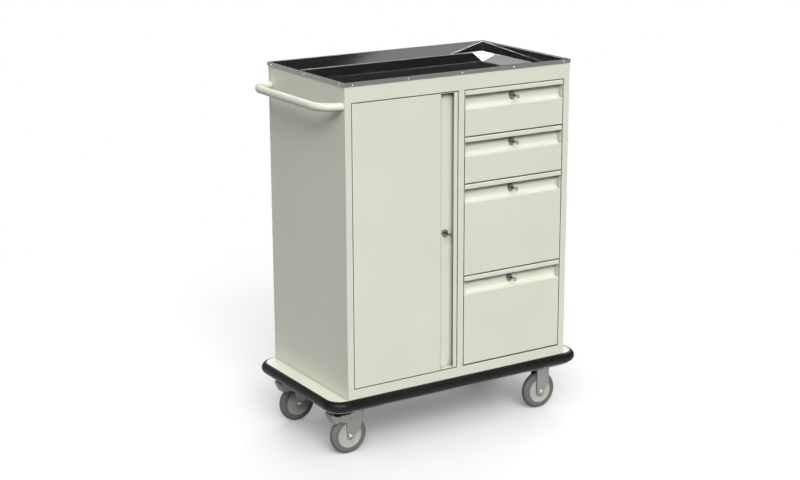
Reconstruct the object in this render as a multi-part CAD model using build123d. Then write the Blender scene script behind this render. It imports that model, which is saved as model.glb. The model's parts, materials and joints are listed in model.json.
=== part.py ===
from build123d import *
import math
import os

# Minibar restocking cart: a sheet-steel cabinet with a cupboard and four drawers, on a deck with casters.
# Millimetres. The origin is on the floor under the cabinet's centre, X to the right, Y to the back, Z up.

# Cabinet shell
cabinet_width = 836.0
cabinet_depth = 483.0
cabinet_height = 995.0
sheet = 1.5
bend = 3.0
back_flange = 20.0

# Front frame
stile_width = 22.0
frame_depth = 25.0
bottom_rail_height = 32.0
top_rail_height = 60.0
front_gap = 3.0
door_post_gap = 1.5

# Shares of the opening's height that the drawers take, from the top
drawer_shares = (1, 1, 2, 2)

# Grips bent into the drawer fronts and the door
grip_depth = 20.0
grip_radius = 14.0
drawer_lip = 14.5
drawer_grip = 59.0
door_lip = 15.0
door_grip = 62.5
lip_fold = 1.5
front_leg = 35.0

# Door pivots
pivot_inset = 9.0
pivot_depth = 7.0
pivot_radius = 4.0
pivot_head = 2.0
pivot_reach = 6.0

# Drawer boxes and runners
box_sheet = 1.2
box_depth = 420.0
box_floor = 14.0
box_clear = 4.0
rail_height = 22.0
rail_reach = 12.0
rail_length = 410.0
rail_side_gap = 1.0
rail_lift = 30.0
runner_length = 440.0
runner_overlap = 9.5
runner_play = 0.3

# Cupboard shelves
shelf_heights = (336.0, 636.0)
shelf_lip = 20.0
shelf_setback = 61.0
shelf_play = 0.3
clip_width = 16.0
clip_reach = 12.0
clip_height = 20.0
clip_inset = 40.0

# Tray and its rivets
tray_sheet = 1.2
tray_depth = 35.0
tray_draft = 10.0
tray_fold = 1.0
rim_height = 12.0
rim_overhang = 2.0
rim_flange = 12.0
rim_fold = 1.0
rivet_radius = 1.6
rivet_head_radius = 3.2
rivet_head = 1.6
head_round = 0.8
rivet_hole_play = 0.1
rivet_drop = 6.0
rivet_end_inset = 28.0
rivet_count_long = 5
rivet_count_short = 3

# Push handle
handle_radius = 12.5
handle_wall = 2.0
handle_drop = 71.0
handle_stand = 68.0
handle_straight = 2.0
handle_end_inset = 16.0
handle_thread = 14.0
handle_plug_wall = 4.0

# Deck and bumper
deck_step = 50.0
deck_corner = 45.0
deck_sheet = 2.5
deck_height = 39.0
bumper_height = 35.0
bumper_depth = 17.0
channel_width = 112.0
channel_height = 41.5
channel_end_gap = 8.0

# Casters
wheel_radius = 62.5
tyre_width = 28.0
tyre_shoulder = 12.0
tyre_thickness = 20.5
hub_width = 26.0
hub_length = 28.5
hub_boss_radius = 14.0
hub_dish = 2.5
hub_rim = 4.0
axle_radius = 6.0
axle_head_radius = 7.0
axle_head = 4.4
fork_sheet = 2.5
fork_side_gap = 0.4
fork_wheel_gap = 0.5
caster_inset = 72.5
swivel_inset = 116.5
swivel_trail = 28.0
fixed_inset = 98.5
plate_length = 105.0
plate_width = 92.0
plate_thickness = 3.0
bolt_spacing_x = 80.0
bolt_spacing_y = 68.0
bolt_radius = 4.0
bolt_head_radius = 7.2
bolt_head = 5.3
bolt_hole_play = 0.4

# Swivel head and fork
race_radius = 30.0
race_height = 14.7
cup_radius = 34.0
cup_height = 8.0
kingpin_radius = 7.0
kingpin_head_radius = 11.0
kingpin_head = 3.0
crown_gap = 6.5
leg_radius = 12.5
leg_forward = 48.5
leg_corner = 9.5
leg_elbow_forward = 36.5
leg_elbow_height = 17.5
leg_knee_forward = 42.0
leg_knee_height = 36.5
web_height = 45.5
wing_reach = 42.0
wing_root_drop = 20.5
wing_tip_drop = 7.5
fork_rivet_radius = 5.0
fork_rivet_head = 2.0
fork_rivet_forward = 2.6
fork_rivet_height = 52.8

# Fixed fork
fixed_leg_radius = 16.0
fixed_leg_reach = 34.0
fixed_knee_height = 25.0
fixed_rib_raise = 2.0

# Brake pedal
pedal_pin_radius = 3.0
pedal_pin_clear = 4.5
pedal_pin_angle = 121.0
pedal_sheet = 2.5
pedal_cheek_radius = 8.0
pedal_tip_clear = 43.5
pedal_tip_angle = 130.6
pedal_toe_clear = 10.0
pedal_toe_angle = 137.5
pedal_tread = 5.0
pedal_ribs = 4
pedal_rib = 5.0

# Locks and keys
lock_radius = 10.0
lock_stand = 9.0
lock_edge = 1.5
lock_barrel_radius = 8.0
lock_barrel_length = 16.0
lock_nut_radius = 12.5
lock_nut = 5.0
lock_clear = 1.5
plug_radius = 5.0
plug_proud = 0.5
cam_length = 24.0
cam_width = 12.0
cam_sheet = 2.2
cam_gap = 0.3
key_sheet = 2.0
key_height = 5.4
key_depth = 16.0
key_neck = 19.5
key_bow_radius = 6.5
key_bow_hole = 4.5
key_play = 0.2

# Clearances
running = 0.05
seat = 0.3

# Levels and faces worked out from the sizes above
front = -cabinet_depth / 2
back = cabinet_depth / 2
side = cabinet_width / 2
inner_side = side - sheet
post_half = stile_width / 2
crown_bottom = 2 * wheel_radius + crown_gap
crown_top = crown_bottom + fork_sheet
cup_bottom = crown_top + race_height + seat
plate_bottom = cup_bottom + cup_height
caster_height = plate_bottom + plate_thickness
deck_top = caster_height + channel_height + deck_sheet
deck_length = cabinet_width + 2 * deck_step
deck_width = cabinet_depth
opening_bottom = deck_top + bottom_rail_height
cabinet_top = deck_top + cabinet_height
opening_top = cabinet_top - top_rail_height
drawer_step = (opening_top - opening_bottom) / sum(drawer_shares)
frame_back = front + frame_depth
door_opening = (-side + stile_width, -post_half)
drawer_opening = (post_half, side - stile_width)
grip_back = front + grip_depth
front_back = grip_back + sheet
back_panel_inner = back - 2 * sheet
tray_top = cabinet_top + tray_sheet
tray_bottom = tray_top - tray_depth - tray_sheet
rim_x = side + rim_overhang
rim_y = back + rim_overhang
pivot_head_radius = pivot_depth - sheet - seat
handle_bend = handle_stand - handle_straight
handle_plug = handle_thread + handle_plug_wall
handle_height = cabinet_top - handle_drop
shelf_levels = [deck_top + height for height in shelf_heights]
lock_drop = drawer_grip - grip_radius - lock_radius - lock_clear
door_lock_inset = door_grip - grip_radius - lock_radius - lock_clear
box_headroom = lock_drop + lock_nut_radius + box_clear
axle_z = wheel_radius
hub_radius = wheel_radius - tyre_thickness
fork_inner = hub_length / 2 + fork_side_gap
fork_outer = fork_inner + fork_sheet
caster_y = deck_width / 2 - caster_inset
fixed_x = deck_length / 2 - fixed_inset
swivel_x = swivel_inset - deck_length / 2
axle_x = swivel_x - swivel_trail


def block(x, y, z):
    """Box between two limits on each axis."""
    size = [high - low for low, high in (x, y, z)]
    centre = [(low + high) / 2 for low, high in (x, y, z)]
    return Pos(*centre) * Box(*size)


def rod(radius, start, direction, length):
    """Round bar from a start point along a direction."""
    base = Plane(origin=start, z_dir=direction)
    return base * Cylinder(radius, length, align=(Align.CENTER, Align.CENTER, Align.MIN))


def hexagon(radius, start, direction, length):
    """Hexagonal bar from a start point along a direction, radius over the corners."""
    base = Plane(origin=start, z_dir=direction)
    return extrude(base * RegularPolygon(radius, 6), amount=length, dir=direction)


def face_up(edges):
    """Face inside a closed line, turned so that its normal is +Z."""
    face = make_face(edges).face()
    return face if face.normal_at().Z > 0 else -face


def folded(points, radii, plane, length, thick_side):
    """Sheet bent along a line of points and extruded along the plane's normal."""
    path = FilletPolyline(*points, radius=radii)
    outline = offset(path, amount=sheet, side=thick_side)
    return extrude(plane * face_up(outline.edges()), amount=length, dir=plane.z_dir)


def polygon(*points):
    return face_up(Polyline(*points, close=True).edges())


def upright(outline, y):
    """Plate with an outline in X and Z between two Y limits."""
    plane = Plane.XZ.offset(-y[1])
    return extrude(plane * outline, amount=y[1] - y[0], dir=plane.z_dir)


def save(name, *solids):
    """Writes one node, one solid or a group of alike solids."""
    shape = solids[0] if len(solids) == 1 else Compound(children=list(solids))
    export_step(shape, f"parts/{name}.step")


def spread(count, half):
    """Evenly spaced places from minus half to plus half."""
    return [half * (2 * i / (count - 1) - 1) for i in range(count)]


# Rivets along the rim: places on the four lips, with the direction that each one points in
def rivet_places():
    z = tray_top - rivet_drop
    long_half = rim_x - rivet_end_inset
    short_half = rim_y - rivet_end_inset
    for sign in (-1, 1):
        for x in spread(rivet_count_long, long_half):
            yield (x, sign * rim_y, z), (0, sign, 0)
        for y in spread(rivet_count_short, short_half):
            yield (sign * rim_x, y, z), (sign, 0, 0)


def rivet_length():
    return rim_overhang + sheet + rivet_head


def rivet(place, out):
    inward = [-v for v in out]
    head = rod(rivet_head_radius, place, out, rivet_head)
    rim = head.edges().filter_by(GeomType.CIRCLE).sort_by(lambda e: Vector(*out).dot(e.center()))[-1]
    return fillet(rim, rivet_head * head_round) + rod(rivet_radius, place, inward, rivet_length())


def rivet_holes():
    radius = rivet_radius + rivet_hole_play
    for place, out in rivet_places():
        yield rod(radius, place, [-v for v in out], rivet_length())


def drilled(shape, holes):
    for hole in holes:
        shape = shape - hole
    return shape


# Deck: folded pan with two channels under it that carry the casters
def deck_pan():
    low = deck_top - deck_height
    outer = RectangleRounded(deck_length, deck_width, deck_corner)
    wall = 2 * deck_sheet
    inner = RectangleRounded(deck_length - wall, deck_width - wall, deck_corner - deck_sheet)
    pan = extrude(Pos(0, 0, low) * outer, amount=deck_height)
    return pan - extrude(Pos(0, 0, low) * inner, amount=deck_height - deck_sheet)


def caster_channel(x):
    half = channel_width / 2
    end = deck_width / 2 - channel_end_gap
    top = deck_top - deck_sheet
    channel = block((x - half, x + half), (-end, end), (caster_height, top))
    inside = (x - half + plate_thickness, x + half - plate_thickness)
    channel -= block(inside, (-end, end), (caster_height + plate_thickness, top))
    return drilled(channel, caster_bolt_holes(x))


def bumper():
    """Half-round rubber strip round the deck: straight runs and quarter turns."""
    x, y, r = deck_length / 2, deck_width / 2, deck_corner
    mid = deck_top - bumper_height / 2
    half = bumper_height / 2
    arc = ThreePointArc((0, half), (bumper_depth, 0), (0, -half))
    section = make_face([arc, Line((0, -half), (0, half))])
    corners = [(x - r, -y + r), (x - r, y - r), (-x + r, y - r), (-x + r, -y + r)]
    runs = [y - r, x - r, y - r, x - r]
    strip = None
    for i, (corner, run) in enumerate(zip(corners, runs)):
        turn = Pos(corner[0], corner[1], mid) * Rot(0, 0, 90 * i - 90)
        standing = turn * Pos(r, 0, 0) * Rot(90, 0, 0) * section
        quarter = revolve(standing, Axis((corner[0], corner[1], 0), (0, 0, 1)), 90)
        ahead = turn * Rot(0, 0, 90) * Pos(r, 0, 0) * Rot(90, 0, 0) * section
        straight = extrude(ahead, amount=2 * run, dir=Vector(0, 1, 0).rotate(Axis.Z, 90 * i))
        strip = quarter + straight if strip is None else strip + quarter + straight
    return strip


# Cabinet shell
def side_panel(sign):
    """Side sheet with a flange folded in behind."""
    points = [(-side, front), (-side, back), (-side + back_flange + sheet, back)]
    panel = folded(points, bend, Plane.XY.offset(deck_top), cabinet_top - deck_top, Side.RIGHT)
    if sign > 0:
        panel = mirror(panel, about=Plane.YZ)
    panel = drilled(panel, rivet_holes())
    if sign < 0:
        panel = drilled(panel, handle_bolt_holes())
    return panel


def back_panel():
    half = side - bend
    panel = block((-half, half), (back_panel_inner, back - sheet), (deck_top, cabinet_top))
    return drilled(panel, rivet_holes())


def partition():
    """Upright sheet between cupboard and drawers, with a tab folded behind the centre post."""
    half = sheet / 2
    wall = block((-half, half), (frame_back, back_panel_inner), (deck_top, tray_bottom))
    tab = block((half, post_half), (frame_back, frame_back + sheet), (opening_bottom, opening_top))
    return wall + tab


def front_frame():
    """Two rails and three stiles, each bent from sheet and open to the back."""
    y = (front, frame_back)
    behind = (front + sheet, frame_back)
    across = (-inner_side, inner_side)
    heights = (opening_bottom, opening_top)
    top = block(across, y, (opening_top, cabinet_top))
    top -= block(across, behind, (opening_top + sheet, cabinet_top))
    low = block(across, y, (deck_top, opening_bottom))
    low -= block(across, behind, (deck_top, opening_bottom - sheet))
    left = block((-inner_side, door_opening[0]), y, heights)
    left -= block((-inner_side, door_opening[0] - sheet), behind, heights)
    right = mirror(left, about=Plane.YZ)
    post = block((-post_half, post_half), y, heights)
    post -= block((-post_half + sheet, post_half - sheet), behind, heights)
    hole = pivot_radius + running
    x, y_pivot = pivot_place()
    top = drilled(top - rod(hole, (x, y_pivot, opening_top), (0, 0, 1), sheet), rivet_holes())
    low -= rod(hole, (x, y_pivot, opening_bottom), (0, 0, -1), sheet)
    return top, low, left, right, post


def well_block(wall):
    """The tray's well as a tapered block with rounded folds, grown by a wall."""
    grown = 2 * (wall / math.cos(math.radians(tray_draft)) - rim_flange)
    mouth = Plane(origin=(0, 0, tray_top), x_dir=(1, 0, 0), z_dir=(0, 0, -1))
    outline = mouth * Rectangle(2 * rim_x + grown, 2 * rim_y + grown)
    well = extrude(outline, amount=tray_depth + wall, taper=tray_draft, dir=mouth.z_dir)
    rim = well.faces().sort_by(Axis.Z)[-1].edges()
    return fillet(well.edges() - rim, tray_fold + wall)


def tray():
    """Stainless tray: flange with a turned-down lip and a shallow tapered well."""
    lip = tray_top - rim_height
    inside_x = rim_x - tray_sheet
    inside_y = rim_y - tray_sheet
    shape = block((-rim_x, rim_x), (-rim_y, rim_y), (lip, tray_top))
    shape -= block((-inside_x, inside_x), (-inside_y, inside_y), (lip, cabinet_top))
    shape = shape + well_block(tray_sheet) - well_block(0)
    shape = fillet(shape.faces().sort_by(Axis.Z)[-1].edges(), rim_fold)
    return drilled(shape, rivet_holes())


# Push handle and the bolts that hold it
def handle_ends():
    y = back - handle_end_inset
    return (-y, y)


def bent_bar(radius, end_cut):
    """Round bar along the handle's bent line, cut short by a length at each end."""
    near, far = handle_ends()
    out = -side - handle_stand
    corners = [(-side, near), (out, near), (out, far), (-side, far)]
    line = FilletPolyline(*[(x, y, handle_height) for x, y in corners], radius=handle_bend).wire()
    share = end_cut / line.length
    path = line.trim(share, 1 - share)
    return sweep(Plane(origin=path @ 0, z_dir=path % 0) * Circle(radius), path=path)


def push_handle():
    """Bent tube with a solid, tapped plug in each end."""
    tube = bent_bar(handle_radius, 0) - bent_bar(handle_radius - handle_wall, handle_plug)
    for y in handle_ends():
        tube -= rod(bolt_radius + running, (-side, y, handle_height), (-1, 0, 0), handle_thread)
    return tube


def handle_bolt_holes():
    for y in handle_ends():
        yield rod(bolt_radius + bolt_hole_play, (-side, y, handle_height), (1, 0, 0), sheet)


def handle_bolts():
    for y in handle_ends():
        head = hexagon(bolt_head_radius, (-inner_side, y, handle_height), (1, 0, 0), bolt_head)
        length = sheet + handle_thread - seat
        yield head + rod(bolt_radius, (-inner_side, y, handle_height), (-1, 0, 0), length)


# Cupboard shelves and clips
def shelf(level):
    x = (-inner_side + shelf_play, -sheet / 2 - shelf_play)
    y = (front + shelf_setback, back_panel_inner - shelf_play)
    pan = block(x, y, (level - shelf_lip, level))
    return pan - block(x, (y[0] + sheet, y[1] - sheet), (level - shelf_lip, level - sheet))


def shelf_clips(level):
    top = level - sheet
    places = (front + shelf_setback + clip_inset, back_panel_inner - clip_inset)
    for wall, sign in ((-inner_side, 1), (-sheet / 2, -1)):
        for y in places:
            width = (y - clip_width / 2, y + clip_width / 2)
            upright_leg = sorted((wall, wall + sign * sheet))
            foot = sorted((wall, wall + sign * clip_reach))
            leg = block(upright_leg, width, (top - clip_height, top))
            yield leg + block(foot, width, (top - sheet, top))


# Door, its pivots and the fronts' shared grip profile
def pivot_place():
    return door_opening[0] + front_gap + pivot_inset, front + pivot_depth


def door_span():
    return door_opening[0] + front_gap, door_opening[1] - door_post_gap


def door_heights():
    return opening_bottom + front_gap, opening_top - front_gap


def door_panel():
    """Door bent from one sheet, with end plates that close its grip and carry the pivots."""
    left, right = door_span()
    low, high = door_heights()
    ledge = right - door_grip
    points = [
        (left + front_leg, front_back),
        (left, front_back),
        (left, front),
        (ledge, front),
        (ledge, grip_back),
        (right - sheet, grip_back),
        (right - sheet, front + sheet),
        (right - door_lip, front + sheet),
    ]
    radii = [bend, bend, bend, grip_radius, lip_fold, lip_fold]
    panel = folded(points, radii, Plane.XY.offset(low), high - low, Side.LEFT)
    x, y = pivot_place()
    inside_x = (left + sheet, right - sheet)
    inside_y = (front + sheet, front_back - sheet)
    for z in ((low, low + sheet), (high - sheet, high)):
        panel += block(inside_x, inside_y, z)
        panel -= rod(pivot_radius + running, (x, y, z[0]), (0, 0, 1), sheet)
    wall = (door_lock_x(), grip_back, door_lock_z())
    return panel - rod(lock_barrel_radius + running, wall, (0, 1, 0), sheet)


def pivot_pins():
    """Lower pin with a collar that the door stands on, and a headed upper pin."""
    x, y = pivot_place()
    low, high = door_heights()
    under = opening_bottom - sheet
    lower = rod(pivot_radius, (x, y, under), (0, 0, 1), low + pivot_reach - under)
    lower += rod(pivot_head_radius, (x, y, under), (0, 0, -1), pivot_head)
    lower += rod(pivot_head_radius, (x, y, opening_bottom), (0, 0, 1), front_gap - seat)
    over = opening_top + sheet
    upper = rod(pivot_radius, (x, y, over), (0, 0, -1), over - high + pivot_reach)
    upper += rod(pivot_head_radius, (x, y, over), (0, 0, 1), pivot_head)
    return lower, upper


# Drawers, numbered from the top
def drawer_levels():
    """Lowest and highest level of each drawer front."""
    last = len(drawer_shares) - 1
    top = opening_top
    levels = []
    for i, share in enumerate(drawer_shares):
        bottom = top - share * drawer_step
        low = bottom + (front_gap if i == last else front_gap / 2)
        high = top - (front_gap if i == 0 else front_gap / 2)
        levels.append((low, high))
        top = bottom
    return levels


def drawer_span():
    return drawer_opening[0] + front_gap, drawer_opening[1] - front_gap


def box_span():
    step = rail_side_gap + rail_reach
    return drawer_opening[0] + step, drawer_opening[1] - step


def drawer_front(low, high):
    """Front bent from one sheet, with end plates that close its panel and its grip."""
    left, right = drawer_span()
    ledge = high - drawer_grip
    points = [
        (front_back, low + front_leg),
        (front_back, low),
        (front, low),
        (front, ledge),
        (grip_back, ledge),
        (grip_back, high - sheet),
        (front + sheet, high - sheet),
        (front + sheet, high - drawer_lip),
    ]
    radii = [bend, bend, bend, grip_radius, lip_fold, lip_fold]
    plane = Plane(origin=(left, 0, 0), x_dir=(0, 1, 0), z_dir=(1, 0, 0))
    panel = folded(points, radii, plane, right - left, Side.RIGHT)
    inside_y = (front + sheet, front_back - sheet)
    inside_z = (low + sheet, high - sheet)
    for x in ((left, left + sheet), (right - sheet, right)):
        panel += block(x, inside_y, inside_z)
    wall = (drawer_lock_x(), grip_back, high - lock_drop)
    return panel - rod(lock_barrel_radius + running, wall, (0, 1, 0), sheet)


def drawer_box(low, high):
    """Open box folded from thin sheet, fixed behind the front."""
    x = box_span()
    y = (front_back, front_back + box_depth)
    z = (low + box_floor, high - box_headroom)
    inside = [(a + box_sheet, b - box_sheet) for a, b in (x, y)]
    return block(x, y, z) - block(*inside, (z[0] + box_sheet, z[1]))


def rail_centre(low):
    return low + box_floor + rail_lift


def drawer_rails(low):
    """Pair of channels on the box's sides, open outwards."""
    z = rail_centre(low)
    y = (front_back, front_back + rail_length)
    half = rail_height / 2
    for edge, sign in zip(box_span(), (-1, 1)):
        outer = sorted((edge, edge + sign * rail_reach))
        hollow = sorted((edge + sign * sheet, edge + sign * rail_reach))
        bar = block(outer, y, (z - half, z + half))
        yield bar - block(hollow, y, (z - half + sheet, z + half - sheet))


def cabinet_runners(low):
    """Pair of channels fixed to the partition and the side panel, open inwards."""
    z = rail_centre(low)
    y = (frame_back + sheet + seat, frame_back + sheet + seat + runner_length)
    inner = rail_height / 2 + runner_play
    walls = (sheet / 2, inner_side)
    for wall, edge, sign in zip(walls, box_span(), (1, -1)):
        reach = edge - sign * (rail_reach - runner_overlap)
        bar = block(sorted((wall, reach)), y, (z - inner - sheet, z + inner + sheet))
        yield bar - block(sorted((wall + sign * sheet, reach)), y, (z - inner, z + inner))


# Locks, built along a plane whose normal points out of the grip's wall
def lock_plane(x, z):
    return Plane(origin=(x, grip_back, z), x_dir=(1, 0, 0), z_dir=(0, -1, 0))


def drawer_lock_x():
    return sum(drawer_span()) / 2


def door_lock_x():
    return door_span()[1] - door_lock_inset


def door_lock_z():
    return (opening_bottom + opening_top) / 2


def lock_body(plane):
    """Bezel and barrel in one piece, and the nut behind the wall."""
    up = (0, 0, 1)
    bezel = rod(lock_radius, (0, 0, 0), up, lock_stand)
    bezel = fillet(bezel.edges().filter_by(GeomType.CIRCLE).sort_by(Axis.Z)[-1], lock_edge)
    body = bezel + rod(lock_barrel_radius, (0, 0, -lock_barrel_length), up, lock_barrel_length)
    body -= rod(plug_radius + running, (0, 0, -lock_barrel_length), up, lock_barrel_length + lock_stand)
    nut = hexagon(lock_nut_radius, (0, 0, -sheet - lock_nut), up, lock_nut)
    nut -= rod(lock_barrel_radius + running, (0, 0, -sheet - lock_nut), up, lock_nut)
    return plane * body, plane * nut


def lock_plug(plane):
    """Turning plug with its keyway and the cam on its inner end."""
    up = (0, 0, 1)
    tail = lock_barrel_length + cam_gap + cam_sheet
    plug = rod(plug_radius, (0, 0, -tail), up, tail + lock_stand + plug_proud)
    half = cam_width / 2
    cam = block((0, cam_length - half), (-half, half), (-tail, -tail + cam_sheet))
    cam += rod(half, (0, 0, -tail), up, cam_sheet) + rod(half, (cam_length - half, 0, -tail), up, cam_sheet)
    slot_x = key_sheet / 2 + key_play
    slot_y = key_height / 2 + key_play
    mouth = lock_stand + plug_proud
    slot = block((-slot_x, slot_x), (-slot_y, slot_y), (mouth - key_depth - key_play, mouth))
    return plane * (plug + cam - slot)


def key(plane):
    """Flat key in the plug, its round bow standing out."""
    half = key_sheet / 2
    mouth = lock_stand + plug_proud
    bow = mouth + key_neck + key_bow_radius
    tall = key_height / 2
    blade = block((-half, half), (-tall, tall), (mouth - key_depth, bow))
    head = rod(key_bow_radius, (-half, 0, bow), (1, 0, 0), key_sheet)
    return plane * (blade + head - rod(key_bow_hole, (-half, 0, bow), (1, 0, 0), key_sheet))


# Casters
def caster_bolt_places(x):
    for dx in (-bolt_spacing_x / 2, bolt_spacing_x / 2):
        for y in (-caster_y, caster_y):
            for dy in (-bolt_spacing_y / 2, bolt_spacing_y / 2):
                yield x + dx, y + dy


def caster_bolt_holes(x):
    radius = bolt_radius + bolt_hole_play
    for place in caster_bolt_places(x):
        yield rod(radius, (*place, plate_bottom), (0, 0, 1), 2 * plate_thickness)


def caster_bolts(x):
    """Bolts up through plate and channel, each with its nut."""
    over = caster_height + plate_thickness
    for place in caster_bolt_places(x):
        bolt = rod(bolt_radius, (*place, plate_bottom), (0, 0, 1), 2 * plate_thickness + bolt_head)
        bolt += hexagon(bolt_head_radius, (*place, plate_bottom), (0, 0, -1), bolt_head)
        yield bolt + hexagon(bolt_head_radius, (*place, over), (0, 0, 1), bolt_head)


def top_plate(x, y):
    half_x = plate_length / 2
    half_y = plate_width / 2
    plate = block((x - half_x, x + half_x), (y - half_y, y + half_y), (plate_bottom, caster_height))
    return drilled(plate, caster_bolt_holes(x))


def swivel_plate(y):
    """Top plate with its bearing cup and kingpin."""
    plate = top_plate(swivel_x, y) + rod(cup_radius, (swivel_x, y, cup_bottom), (0, 0, 1), cup_height)
    tip = crown_bottom - seat
    plate += rod(kingpin_radius, (swivel_x, y, tip), (0, 0, 1), cup_bottom - tip)
    return plate + rod(kingpin_head_radius, (swivel_x, y, tip), (0, 0, -1), kingpin_head)


def leg_pair(outline, y):
    """Two upright plates either side of a wheel."""
    near = upright(outline, (y - fork_outer, y - fork_inner))
    far = upright(outline, (y + fork_inner, y + fork_outer))
    return near, far


def fork_plan(y, inset):
    """Plan of the swivel fork, rounded at its front corners and drawn in by an inset."""
    x = (axle_x - wing_reach, axle_x + leg_forward - inset)
    half = fork_outer - inset
    plan = Pos((x[0] + x[1]) / 2, y) * Rectangle(x[1] - x[0], 2 * half)
    return fillet(plan.vertices().sort_by(Axis.X)[-2:], leg_corner - inset)


def fork_rivet(y, out):
    """Round rivet head on the outer face of a swivel fork's leg."""
    place = (axle_x + fork_rivet_forward, y + out * fork_outer, axle_z + fork_rivet_height)
    head = rod(fork_rivet_radius, place, (0, out, 0), fork_rivet_head)
    rim = head.edges().filter_by(GeomType.CIRCLE).sort_by(lambda e: out * e.center().Y)[-1]
    return fillet(rim, fork_rivet_head * head_round)


def swivel_fork(y):
    """Trailing fork folded round the wheel's front, with wings for the pedal, a crown and a bearing race."""
    x, z = axle_x, axle_z
    outline = polygon(
        (x - leg_radius, z),
        (x - leg_radius, 2 * wheel_radius - wing_root_drop),
        (x - wing_reach, 2 * wheel_radius - wing_tip_drop),
        (x - wing_reach, crown_top),
        (x + leg_forward, crown_top),
        (x + leg_forward, z + web_height),
        (x + leg_knee_forward, z + leg_knee_height),
        (x + leg_elbow_forward, z + leg_elbow_height),
        (x + leg_radius, z),
    )
    outline += Pos(x, z) * Circle(leg_radius)
    outline -= Pos(x, z) * Circle(axle_radius + running)
    outline -= Pos(*pedal_pivot()) * Circle(pedal_pin_radius + running)
    folded_sheet = extrude(fork_plan(y, 0) - fork_plan(y, fork_sheet), amount=crown_top)
    fork = folded_sheet & upright(outline, (y - fork_outer, y + fork_outer))
    fork -= wheel_axis(x, y) * tyre_blank(fork_wheel_gap)
    crown = extrude(Pos(0, 0, crown_bottom) * fork_plan(y, fork_sheet), amount=fork_sheet)
    fork += crown & block((x - leg_radius, x + leg_forward), (y - fork_outer, y + fork_outer), (0, crown_top))
    fork += fork_rivet(y, -1) + fork_rivet(y, 1)
    fork += rod(race_radius, (swivel_x, y, crown_top), (0, 0, 1), cup_bottom - seat - crown_top)
    depth = cup_bottom - crown_bottom
    return fork - rod(kingpin_radius + running, (swivel_x, y, crown_bottom), (0, 0, 1), depth)


def fixed_fork(y):
    """Straight fork: two legs with a raised rib, hanging from the top plate."""
    x, z = fixed_x, axle_z
    leg = polygon(
        (x - fixed_leg_radius, z),
        (x - fixed_leg_radius, plate_bottom),
        (x + fixed_leg_reach, plate_bottom),
        (x + fixed_leg_reach, z + fixed_knee_height),
        (x + fixed_leg_radius, z),
    )
    rib = polygon(
        (x - fixed_leg_radius, z),
        (x - fixed_leg_radius, plate_bottom),
        (x + fixed_leg_radius, plate_bottom),
        (x + fixed_leg_radius, z),
    )
    round_end = Pos(x, z) * Circle(fixed_leg_radius)
    bore = Pos(x, z) * Circle(axle_radius + running)
    near, far = leg_pair(leg + round_end - bore, y)
    face = fork_outer + fixed_rib_raise
    near_rib = upright(rib + round_end - bore, (y - face, y - fork_outer))
    far_rib = upright(rib + round_end - bore, (y + fork_outer, y + face))
    return near + far + near_rib + far_rib + top_plate(fixed_x, y)


def axle(x, y, half):
    """Axle bolt with a rounded head at the front and a nut at the back."""
    start = (x, y - half, axle_z)
    head = rod(axle_head_radius, start, (0, -1, 0), axle_head)
    head = fillet(head.edges().filter_by(GeomType.CIRCLE).sort_by(Axis.Y)[0], axle_head * head_round)
    shank = rod(axle_radius, start, (0, 1, 0), 2 * half + axle_head)
    return head + shank + hexagon(axle_head_radius, (x, y + half, axle_z), (0, 1, 0), axle_head)


def wheel_axis(x, y):
    return Pos(x, y, axle_z) * Rot(90, 0, 0)


def tyre_blank(grown):
    """Solid with the tyre's rounded outside, grown by a gap."""
    ring = Cylinder(wheel_radius + grown, tyre_width + 2 * grown)
    return fillet(ring.edges().filter_by(GeomType.CIRCLE), tyre_shoulder)


def tyre(x, y):
    return wheel_axis(x, y) * (tyre_blank(0) - Cylinder(hub_radius, tyre_width))


def hub(x, y):
    """Dished hub with a rim, a boss and a bore that runs on the axle."""
    disc = Cylinder(hub_radius, hub_width)
    for sign in (-1, 1):
        pocket = Cylinder(hub_radius - hub_rim, hub_dish)
        disc -= Pos(0, 0, sign * (hub_width - hub_dish) / 2) * pocket
    disc += Cylinder(hub_boss_radius, hub_length)
    return wheel_axis(x, y) * (disc - Cylinder(axle_radius + running, hub_length))


def off_tread(clear, angle):
    """X and Z of a place outside a left wheel's tread, at an angle from +X."""
    reach = wheel_radius + clear
    turn = math.radians(angle)
    return axle_x + reach * math.cos(turn), axle_z + reach * math.sin(turn)


def pedal_pivot():
    return off_tread(pedal_pin_clear + pedal_pin_radius, pedal_pin_angle)


def brake_pedal(y):
    """Toothed tread between two cheeks, on a pin through the fork's wings."""
    pivot_x, pivot_z = pedal_pivot()
    tip = Vector(*off_tread(pedal_tip_clear, pedal_tip_angle))
    toe = Vector(*off_tread(pedal_toe_clear, pedal_toe_angle))
    step = (toe - tip) / pedal_ribs
    out = Vector(step.Y, -step.X).normalized()
    teeth = []
    for i in range(pedal_ribs):
        root = tip + step * i
        teeth += [root, root + step / 2 + out * pedal_rib]
    tread = polygon(*teeth, toe, toe - out * pedal_tread, tip - out * pedal_tread)
    low = (pivot_x, pivot_z - pedal_cheek_radius)
    high = (pivot_x, pivot_z + pedal_cheek_radius)
    cheek = polygon(tip, toe, low, high) + Pos(pivot_x, pivot_z) * Circle(pedal_cheek_radius)
    inner = fork_outer + seat
    outer = inner + pedal_sheet
    pedal = upright(cheek, (y - outer, y - inner)) + upright(cheek, (y + inner, y + outer))
    pedal += upright(tread, (y - outer, y + outer))
    return pedal + rod(pedal_pin_radius, (pivot_x, y - outer, pivot_z), (0, 1, 0), 2 * outer)


# Write every node
os.makedirs("parts", exist_ok=True)

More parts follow.
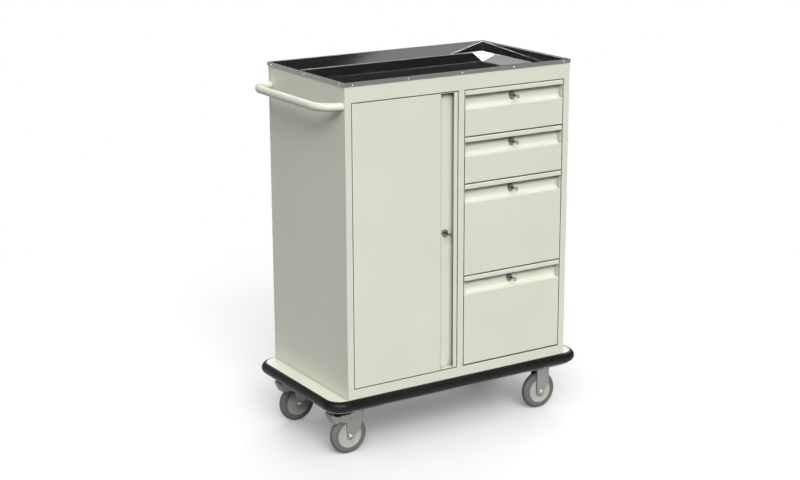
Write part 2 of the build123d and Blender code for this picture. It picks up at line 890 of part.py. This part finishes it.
save("deck", deck_pan(), caster_channel(swivel_x), caster_channel(fixed_x))
save("bumper", bumper())
save("left_side_panel", side_panel(-1))
save("right_side_panel", side_panel(1))
save("back_panel", back_panel())
save("centre_partition", partition())
save("front_frame", *front_frame())
save("tray", tray())
save("rim_rivets", *[rivet(place, out) for place, out in rivet_places()])
save("push_handle", push_handle())
save("hex_bolts", *handle_bolts(), *caster_bolts(swivel_x), *caster_bolts(fixed_x))
save("cupboard_shelves", *[shelf(level) for level in shelf_levels])
save("shelf_clips", *[clip for level in shelf_levels for clip in shelf_clips(level)])

save("door_panel", door_panel())
save("door_pivot_pins", *pivot_pins())
door_lock = lock_plane(door_lock_x(), door_lock_z())
save("door_lock_body", *lock_body(door_lock))
save("door_lock_plug", lock_plug(door_lock))
save("door_key", key(door_lock))

save("cabinet_runners", *[runner for low, high in drawer_levels() for runner in cabinet_runners(low)])
for number, (low, high) in enumerate(drawer_levels(), 1):
    name = f"drawer_{number}"
    lock = lock_plane(drawer_lock_x(), high - lock_drop)
    save(f"{name}_front", drawer_front(low, high))
    save(f"{name}_box", drawer_box(low, high))
    save(f"{name}_rails", *drawer_rails(low))
    save(f"{name}_lock_body", *lock_body(lock))
    save(f"{name}_lock_plug", lock_plug(lock))
    save(f"{name}_key", key(lock))

save("swivel_plates", swivel_plate(-caster_y), swivel_plate(caster_y))
save("fixed_forks", fixed_fork(-caster_y), fixed_fork(caster_y))
fixed_half = fork_outer + fixed_rib_raise
save("fixed_axles", axle(fixed_x, -caster_y, fixed_half), axle(fixed_x, caster_y, fixed_half))
for end, y in (("front", -caster_y), ("rear", caster_y)):
    save(f"{end}_left_fork", swivel_fork(y))
    save(f"{end}_left_axle", axle(axle_x, y, fork_outer))
    save(f"{end}_left_brake_pedal", brake_pedal(y))
    for hand, x in (("left", axle_x), ("right", fixed_x)):
        save(f"{end}_{hand}_wheel_hub", hub(x, y))
        save(f"{end}_{hand}_wheel_tyre", tyre(x, y))
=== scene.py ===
import json
import math

import bpy
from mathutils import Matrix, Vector


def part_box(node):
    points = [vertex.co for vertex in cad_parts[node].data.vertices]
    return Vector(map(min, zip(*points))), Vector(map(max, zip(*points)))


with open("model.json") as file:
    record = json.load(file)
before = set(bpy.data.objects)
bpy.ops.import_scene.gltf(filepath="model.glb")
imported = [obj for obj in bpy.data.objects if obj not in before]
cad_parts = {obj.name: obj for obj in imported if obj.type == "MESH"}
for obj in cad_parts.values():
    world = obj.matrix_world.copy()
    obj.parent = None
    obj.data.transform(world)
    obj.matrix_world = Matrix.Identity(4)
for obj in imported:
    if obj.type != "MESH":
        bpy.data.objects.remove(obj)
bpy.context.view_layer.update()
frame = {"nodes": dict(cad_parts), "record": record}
scene = bpy.context.scene
NODES = frame["nodes"]
SLOT_OF = {part["node"]: part["material_slot"] for part in frame["record"]["subparts"]}

# Camera, fitted to the photograph's corners: metres, degrees, and millimetres for the lens
CAMERA_PLACE = (-2.84156, -4.41314, 2.03964)
CAMERA_TURN = (74.7121, 0.1992, -32.1346)
SENSOR_WIDTH = 36.0
LENS = 74.4456
VIEW_DEPTH = 200.0

# Rays for each rounded edge and each corner mask
EDGE_SAMPLES = 6
CORNER_SAMPLES = 16

# The stretch of a noise's values that is spread out into patches
PATCH_RANGE = (0.3, 0.7)

# Socket numbers of a mix node that mixes colours
MIX_FIRST, MIX_SECOND, MIX_RESULT = 6, 7, 2


def linear(red, green, blue):
    """Colour from linear values."""
    return (red, green, blue, 1.0)


def grey(value):
    return linear(value, value, value)


def srgb(red, green, blue):
    """Linear colour from 8-bit display values."""
    def channel(value):
        value /= 255
        return value / 12.92 if value <= 0.04045 else ((value + 0.055) / 1.055) ** 2.4
    return linear(channel(red), channel(green), channel(blue))


class Nodes:
    """A node tree under construction, with short calls for the nodes used here."""

    def __init__(self, tree, coordinates):
        self.tree = tree
        self.tree.nodes.clear()
        self.where = self.add("ShaderNodeTexCoord").outputs[coordinates]

    def add(self, kind, **settings):
        node = self.tree.nodes.new(kind)
        for key, value in settings.items():
            setattr(node, key, value)
        return node

    def link(self, source, target):
        self.tree.links.new(source, target)

    def feed(self, socket, value):
        """Gives a socket its constant, or links another node's output to it."""
        if isinstance(value, (int, float, tuple)):
            socket.default_value = value
        else:
            self.link(value, socket)

    def stretched(self, scale):
        node = self.add("ShaderNodeMapping")
        node.inputs["Scale"].default_value = scale
        self.link(self.where, node.inputs["Vector"])
        return node.outputs[0]

    def noise(self, scale, detail, rough=0.5, vector=None):
        node = self.add("ShaderNodeTexNoise")
        node.inputs["Scale"].default_value = scale
        node.inputs["Detail"].default_value = detail
        node.inputs["Roughness"].default_value = rough
        self.link(vector or self.where, node.inputs["Vector"])
        return node.outputs["Fac"]

    def cells(self, scale):
        node = self.add("ShaderNodeTexVoronoi")
        node.inputs["Scale"].default_value = scale
        self.link(self.where, node.inputs["Vector"])
        return node.outputs["Color"]

    def span(self, source, values=(0.0, 1.0), between=(0.0, 1.0), **settings):
        """Maps what lies between two inputs to two values, and keeps to them outside."""
        node = self.add("ShaderNodeMapRange", **settings)
        for socket, value in zip(("From Min", "From Max", "To Min", "To Max"), between + values):
            node.inputs[socket].default_value = value
        self.link(source, node.inputs["Value"])
        return node.outputs[0]

    def patches(self, scale, detail, rough=0.5, values=(0.0, 1.0), between=PATCH_RANGE):
        """Noise as soft patches of two values."""
        return self.span(self.noise(scale, detail, rough), values, between)

    def math(self, operation, *values):
        node = self.add("ShaderNodeMath", operation=operation, use_clamp=operation == "MULTIPLY")
        for socket, value in zip(node.inputs, values):
            self.feed(socket, value)
        return node.outputs[0]

    def mix(self, factor, first, second):
        node = self.add("ShaderNodeMix", data_type="RGBA")
        self.feed(node.inputs["Factor"], factor)
        self.feed(node.inputs[MIX_FIRST], first)
        self.feed(node.inputs[MIX_SECOND], second)
        return node.outputs[MIX_RESULT]

    def layer(self, under, over, mask, share=None):
        """Puts one colour over another where the mask is 1, thinned by a share that may be a mask too."""
        if share is not None:
            mask = self.math("MULTIPLY", mask, share)
        return self.mix(mask, under, over)


class Finish(Nodes):
    """A material with a principled shader, in the object's own coordinates."""

    def __init__(self, name):
        self.material = bpy.data.materials.new(name)
        self.material.use_nodes = True
        super().__init__(self.material.node_tree, "Object")
        self.out = self.add("ShaderNodeOutputMaterial")
        self.bsdf = self.add("ShaderNodeBsdfPrincipled")
        self.link(self.bsdf.outputs[0], self.out.inputs["Surface"])

    def round_edges(self, radius):
        """Normal that is rounded off at sharp edges, which the bumps and the edge mask then start from."""
        node = self.add("ShaderNodeBevel", samples=EDGE_SAMPLES)
        node.inputs["Radius"].default_value = radius
        self.rounded = node.outputs[0]

    def edges(self, reach):
        """Mask that is 1 on sharp edges, from the rounded and the true normal."""
        true = self.add("ShaderNodeNewGeometry").outputs["Normal"]
        dot = self.add("ShaderNodeVectorMath", operation="DOT_PRODUCT")
        self.link(self.rounded, dot.inputs[0])
        self.link(true, dot.inputs[1])
        return self.span(dot.outputs["Value"], values=(1.0, 0.0), between=(1.0 - reach, 1.0))

    def crevices(self, distance, closed=0.0, open_at=0.6):
        """Mask that is 1 in tight corners, and only in narrow gaps where open_at is under a half."""
        node = self.add("ShaderNodeAmbientOcclusion", samples=CORNER_SAMPLES)
        node.inputs["Distance"].default_value = distance
        return self.span(node.outputs["AO"], values=(1.0, 0.0), between=(closed, open_at))

    def bump(self, height, strength, distance):
        node = self.add("ShaderNodeBump")
        node.inputs["Strength"].default_value = strength
        node.inputs["Distance"].default_value = distance
        self.link(height, node.inputs["Height"])
        self.link(self.rounded, node.inputs["Normal"])
        return node.outputs[0]

    def axes(self):
        """The three coordinates of the place that is shaded."""
        node = self.add("ShaderNodeSeparateXYZ")
        self.link(self.where, node.inputs[0])
        return node.outputs

    def set(self, **sockets):
        for name, value in sockets.items():
            self.feed(self.bsdf.inputs[name.replace("_", " ")], value)


def cream_paint():
    s = Finish("cream_paint")
    s.round_edges(radius=0.0009)
    tone = s.mix(s.patches(scale=4.5, detail=2.0), srgb(223, 224, 208), srgb(227, 228, 213))
    specks = s.patches(scale=420.0, detail=2.0, between=(0.35, 0.65))
    tone = s.layer(tone, srgb(214, 213, 197), specks, share=0.12)
    rubbed = s.patches(scale=55.0, detail=4.0, values=(0.0, 0.5), between=(0.45, 0.75))
    tone = s.layer(tone, srgb(238, 237, 228), s.edges(reach=0.12), share=rubbed)
    # Painted shade: grey in the grip channels and other recesses, where the lips' shadow falls.
    recess_shade = s.crevices(distance=0.034, closed=0.15, open_at=0.68)
    tone = s.layer(tone, srgb(110, 110, 107), recess_shade, share=0.85)
    # Painted shade: near-black in the narrow gaps between parts, where shadow falls.
    gap_shade = s.crevices(distance=0.010, closed=0.30, open_at=0.48)
    tone = s.layer(tone, srgb(18, 17, 16), gap_shade)
    rough = s.patches(scale=70.0, detail=3.0, values=(0.36, 0.46))
    peel = s.bump(s.noise(scale=560.0, detail=2.0, rough=0.45), strength=0.10, distance=0.0002)
    s.set(Base_Color=tone, Roughness=rough, Normal=peel, Specular_IOR_Level=0.42)
    return s.material


# Width of the satin finish on the tray's outer lip and the edge of its flange
RIM_BAND = 0.004
# Heights of the painted highlight along the fold between the tray's floor and its walls, a lighter and
# rougher band
FOLD_LINE = (0.0014, 0.0027)


def rim_band(s, width):
    """Mask that is 1 on the tray's outer rim, a band of this width along its four sides."""
    low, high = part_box("tray")
    place = s.axes()
    sides = []
    for axis in (0, 1):
        middle, half = (low[axis] + high[axis]) / 2, (high[axis] - low[axis]) / 2
        off = s.math("ABSOLUTE", s.math("SUBTRACT", place[axis], middle))
        sides.append(s.math("GREATER_THAN", off, half - width))
    return s.math("MAXIMUM", *sides)


def fold_line(s, low, high):
    """Mask that is 1 along the foot of the tray's walls, between two heights over its underside."""
    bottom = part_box("tray")[0][2]
    height = s.axes()[2]
    over = s.math("GREATER_THAN", height, bottom + low)
    under = s.math("LESS_THAN", height, bottom + high)
    return s.math("MULTIPLY", over, under)


def polished_steel():
    s = Finish("polished_steel")
    s.round_edges(radius=0.0010)
    tone = s.mix(s.patches(scale=5.0, detail=2.0), linear(0.58, 0.58, 0.57), linear(0.64, 0.64, 0.635))
    lines = s.noise(scale=1.0, detail=4.0, rough=0.6, vector=s.stretched((6.0, 420.0, 420.0)))
    smears = s.patches(scale=22.0, detail=4.0, values=(0.0, 0.025), between=(0.45, 0.8))
    rough = s.math("ADD", s.span(lines, values=(0.035, 0.06), between=PATCH_RANGE), smears)
    satin = rim_band(s, RIM_BAND)
    tone = s.layer(tone, linear(0.27, 0.268, 0.25), satin)
    rough = s.layer(rough, grey(0.34), satin)
    # Painted highlight: a lighter band along the fold where the tray's floor meets its walls.
    fold_highlight = fold_line(s, *FOLD_LINE)
    tone = s.layer(tone, linear(0.74, 0.74, 0.73), fold_highlight)
    rough = s.layer(rough, grey(0.45), fold_highlight)
    # Painted highlight: sharp edges lighter and rougher, so they read as bright lines.
    edge_highlight = s.edges(reach=0.15)
    tone = s.layer(tone, linear(0.86, 0.86, 0.85), edge_highlight, share=0.8)
    rough = s.layer(rough, grey(0.30), edge_highlight)
    grain = s.bump(lines, strength=0.02, distance=0.00005)
    s.set(Base_Color=tone, Metallic=1.0, Roughness=rough, Normal=grain)
    return s.material


def zinc_steel():
    s = Finish("zinc_steel")
    s.round_edges(radius=0.0008)
    flakes = s.mix(0.7, s.cells(scale=160.0), s.noise(scale=45.0, detail=3.0))
    blend = s.span(flakes, between=(0.2, 0.8))
    tone = s.mix(blend, linear(0.30, 0.30, 0.29), linear(0.37, 0.37, 0.355))
    rubbed = s.patches(scale=90.0, detail=3.0, values=(0.1, 0.7), between=(0.35, 0.7))
    tone = s.layer(tone, linear(0.55, 0.55, 0.53), s.edges(reach=0.15), share=rubbed)
    grime = s.patches(scale=60.0, detail=3.0, values=(0.2, 0.6))
    tone = s.layer(tone, linear(0.10, 0.095, 0.085), s.crevices(distance=0.012), share=grime)
    rough = s.span(blend, values=(0.40, 0.50))
    grain = s.bump(s.noise(scale=700.0, detail=3.0), strength=0.08, distance=0.0001)
    s.set(Base_Color=tone, Metallic=0.85, Roughness=rough, Normal=grain)
    return s.material


def turned_metal(name, patch_scale, tones, dirt, turning, roughness, depth):
    """Metal of a small turned part, with fine tool marks, and dirt in its corners."""
    s = Finish(name)
    s.round_edges(radius=0.0005)
    tone = s.mix(s.patches(patch_scale, detail=2.0), *tones)
    tone = s.layer(tone, dirt, s.crevices(distance=0.004), share=0.5)
    marks = s.noise(scale=1.0, detail=3.0, rough=0.6, vector=s.stretched(turning))
    rough = s.span(marks, roughness, between=PATCH_RANGE)
    grain = s.bump(marks, depth, distance=0.00005)
    s.set(Base_Color=tone, Metallic=1.0, Roughness=rough, Normal=grain)
    return s.material


def lock_chrome():
    return turned_metal(
        "lock_chrome",
        patch_scale=120.0,
        tones=(linear(0.17, 0.17, 0.165), linear(0.23, 0.23, 0.225)),
        dirt=linear(0.03, 0.03, 0.028),
        turning=(300.0, 300.0, 2400.0),
        roughness=(0.10, 0.18),
        depth=0.05,
    )


def bright_steel():
    return turned_metal(
        "bright_steel",
        patch_scale=150.0,
        tones=(linear(0.66, 0.66, 0.65), linear(0.76, 0.76, 0.75)),
        dirt=linear(0.10, 0.10, 0.095),
        turning=(2000.0, 300.0, 300.0),
        roughness=(0.10, 0.20),
        depth=0.04,
    )


def bumper_rubber():
    s = Finish("bumper_rubber")
    s.round_edges(radius=0.001)
    tone = s.mix(s.patches(scale=14.0, detail=4.0, between=(0.35, 0.7)), grey(0.005), grey(0.010))
    scuffs = s.patches(scale=38.0, detail=5.0, rough=0.65, between=(0.58, 0.8))
    tone = s.layer(tone, linear(0.030, 0.030, 0.028), scuffs, share=0.35)
    rough = s.patches(scale=60.0, detail=4.0, values=(0.36, 0.50))
    grain = s.bump(s.noise(scale=900.0, detail=2.0), strength=0.12, distance=0.0002)
    s.set(Base_Color=tone, Roughness=rough, Normal=grain, Specular_IOR_Level=0.24)
    return s.material


def grey_tyre():
    s = Finish("grey_tyre")
    s.round_edges(radius=0.001)
    tone = s.mix(s.patches(scale=30.0, detail=4.0), srgb(106, 106, 104), srgb(117, 117, 115))
    dust = s.patches(scale=75.0, detail=5.0, rough=0.65, between=(0.5, 0.8))
    tone = s.layer(tone, srgb(132, 131, 127), dust, share=0.4)
    rough = s.patches(scale=110.0, detail=3.0, values=(0.5, 0.68))
    grain = s.bump(s.noise(scale=1100.0, detail=2.0), strength=0.15, distance=0.0002)
    s.set(Base_Color=tone, Roughness=rough, Normal=grain)
    return s.material


def hub_plastic():
    s = Finish("hub_plastic")
    s.round_edges(radius=0.001)
    tone = s.mix(s.patches(scale=24.0, detail=3.0), srgb(186, 185, 178), srgb(198, 196, 189))
    grime = s.patches(scale=80.0, detail=4.0, values=(0.15, 0.6))
    tone = s.layer(tone, srgb(96, 93, 86), s.crevices(distance=0.008), share=grime)
    rough = s.patches(scale=140.0, detail=3.0, values=(0.42, 0.55))
    grain = s.bump(s.noise(scale=1500.0, detail=2.0), strength=0.08, distance=0.0001)
    s.set(Base_Color=tone, Roughness=rough, Normal=grain)
    return s.material


FINISHES = {
    "cream_paint": cream_paint(),
    "polished_steel": polished_steel(),
    "zinc_steel": zinc_steel(),
    "lock_chrome": lock_chrome(),
    "bright_steel": bright_steel(),
    "bumper_rubber": bumper_rubber(),
    "grey_tyre": grey_tyre(),
    "hub_plastic": hub_plastic(),
}
BRIGHT_NODES = ("_rivets", "_axle", "_axles")


def dress(node):
    """Puts its slot's finish on a CAD node, or the bright one on rivets and axle bolts."""
    slots = NODES[node].data.materials
    slots.clear()
    slots.append(FINISHES["bright_steel" if node.endswith(BRIGHT_NODES) else SLOT_OF[node]])


for node in NODES:
    dress(node)


# Floor: a square this far out from the cart's middle. The camera and reflections see it pale, with the cart's
# shadow cast by the lamps and a painted shadow around and under it, and plain white from a distance on. It
# throws back as little light as a dark floor.
FLOOR_HALF = 30.0
FLOOR_BOUNCE = 0.06
WHITE_FROM = 1.1
WHITE_AT = 2.7
# Shares of its white that come from the lamps and from a glow darkened near the cart as painted shadow, and
# how much the first varies
LIT_SHARE = 0.56
LIT_GRAIN = 0.004
SHADED_GLOW_SHARE = 0.41
# The painted shadow reaches up to this distance from the cart, and leans so that the key lamp's side stays
# lighter
PAINTED_SHADOW_REACH = 0.45
PAINTED_SHADOW_LEAN = (-0.20, -0.60, 0.77)


def floor_white():
    s = Finish("floor_white")
    rays = s.add("ShaderNodeLightPath").outputs
    seen = s.math("ADD", rays["Is Camera Ray"], rays["Is Glossy Ray"])
    seen = s.math("ADD", seen, rays["Is Transmission Ray"])
    lit = s.patches(scale=3.0, detail=2.0, values=(LIT_SHARE - LIT_GRAIN, LIT_SHARE + LIT_GRAIN))
    # Painted shadow: a white glow darkened by ambient occlusion near and under the cart, leaning towards the
    # key lamp.
    lean = s.add("ShaderNodeCombineXYZ")
    for socket, value in zip(lean.inputs, PAINTED_SHADOW_LEAN):
        socket.default_value = value
    painted_shadow = s.add("ShaderNodeAmbientOcclusion", samples=CORNER_SAMPLES)
    painted_shadow.inputs["Distance"].default_value = PAINTED_SHADOW_REACH
    s.link(lean.outputs[0], painted_shadow.inputs["Normal"])
    s.set(
        Base_Color=s.mix(seen, grey(FLOOR_BOUNCE), lit),
        Roughness=0.9,
        Specular_IOR_Level=0.0,
        Emission_Color=painted_shadow.outputs["Color"],
        Emission_Strength=s.math("MULTIPLY", seen, SHADED_GLOW_SHARE),
    )
    distance = s.add("ShaderNodeVectorMath", operation="LENGTH")
    s.link(s.where, distance.inputs[0])
    far = s.span(distance.outputs["Value"], between=(WHITE_FROM, WHITE_AT), interpolation_type="SMOOTHSTEP")
    blend = s.add("ShaderNodeMixShader")
    s.link(s.math("MULTIPLY", far, seen), blend.inputs[0])
    s.link(s.bsdf.outputs[0], blend.inputs[1])
    s.link(s.add("ShaderNodeEmission").outputs[0], blend.inputs[2])
    s.link(blend.outputs[0], s.out.inputs["Surface"])
    return s.material


def floor():
    mesh = bpy.data.meshes.new("floor")
    corners = [(-1, -1), (1, -1), (1, 1), (-1, 1)]
    mesh.from_pydata([(FLOOR_HALF * x, FLOOR_HALF * y, 0.0) for x, y in corners], [], [(0, 1, 2, 3)])
    mesh.materials.append(floor_white())
    item = bpy.data.objects.new("floor", mesh)
    scene.collection.objects.link(item)


floor()


# World: a dim room with a grey card of uneven outline, low in front on the right, for the tray's back wall
# to mirror. The card's reach is given as the cosines at which it ends and is full.
CARD_TOWARDS = (0.70, -0.70, 0.12)
CARD_REACH = (0.973, 0.976)
CARD_WAVER = 0.022
WAVER_SCALE = 20.0
CARD_GREY = 0.34
ROOM_GREY = 0.03


def surroundings():
    world = bpy.data.worlds.new("studio")
    world.use_nodes = True
    scene.world = world
    w = Nodes(world.node_tree, "Generated")
    near = w.add("ShaderNodeVectorMath", operation="DOT_PRODUCT")
    near.inputs[1].default_value = Vector(CARD_TOWARDS).normalized()
    w.link(w.where, near.inputs[0])
    waver = w.span(w.noise(WAVER_SCALE, detail=1.0), values=(-CARD_WAVER, CARD_WAVER))
    edge = w.math("ADD", near.outputs["Value"], waver)
    sky = w.add("ShaderNodeBackground")
    w.link(w.span(edge, values=(ROOM_GREY, CARD_GREY), between=CARD_REACH), sky.inputs["Color"])
    w.link(sky.outputs[0], w.add("ShaderNodeOutputWorld").inputs["Surface"])


surroundings()


# Lamps: large and far off, each given by its direction, the angles that it covers and its share of full light
LAMP_AIM = Vector((0.0, 0.0, 0.6))
LAMP_DISTANCE = 60.0
FULL_LIGHT = (math.pi * LAMP_DISTANCE) ** 2


def lamp(name, direction, angles, level):
    data = bpy.data.lights.new(name, "AREA")
    data.shape = "RECTANGLE"
    data.size, data.size_y = [2 * LAMP_DISTANCE * math.tan(math.radians(angle / 2)) for angle in angles]
    data.energy = FULL_LIGHT * level
    item = bpy.data.objects.new(name, data)
    towards = Vector(direction).normalized()
    item.location = LAMP_AIM + towards * LAMP_DISTANCE
    item.rotation_euler = (-towards).to_track_quat("-Z", "Y").to_euler()
    scene.collection.objects.link(item)


lamp("key", direction=(-0.327, -0.763, 0.57), angles=(34, 20), level=0.93)
lamp("high", direction=(-0.22, -0.50, 0.84), angles=(60, 30), level=0.49)
lamp("side", direction=(-0.86, -0.25, 0.45), angles=(60, 40), level=0.03)
lamp("back_left", direction=(-0.46, 0.81, 0.35), angles=(44, 28), level=0.09)
lamp("back_right", direction=(0.50, 0.62, 0.60), angles=(50, 30), level=0.55)


def camera():
    data = bpy.data.cameras.new("camera")
    data.sensor_width = SENSOR_WIDTH
    data.sensor_fit = "HORIZONTAL"
    data.lens = LENS
    data.clip_end = VIEW_DEPTH
    item = bpy.data.objects.new("camera", data)
    item.location = CAMERA_PLACE
    item.rotation_euler = [math.radians(angle) for angle in CAMERA_TURN]
    scene.collection.objects.link(item)
    scene.camera = item


camera()
scene.view_settings.view_transform = "Standard"
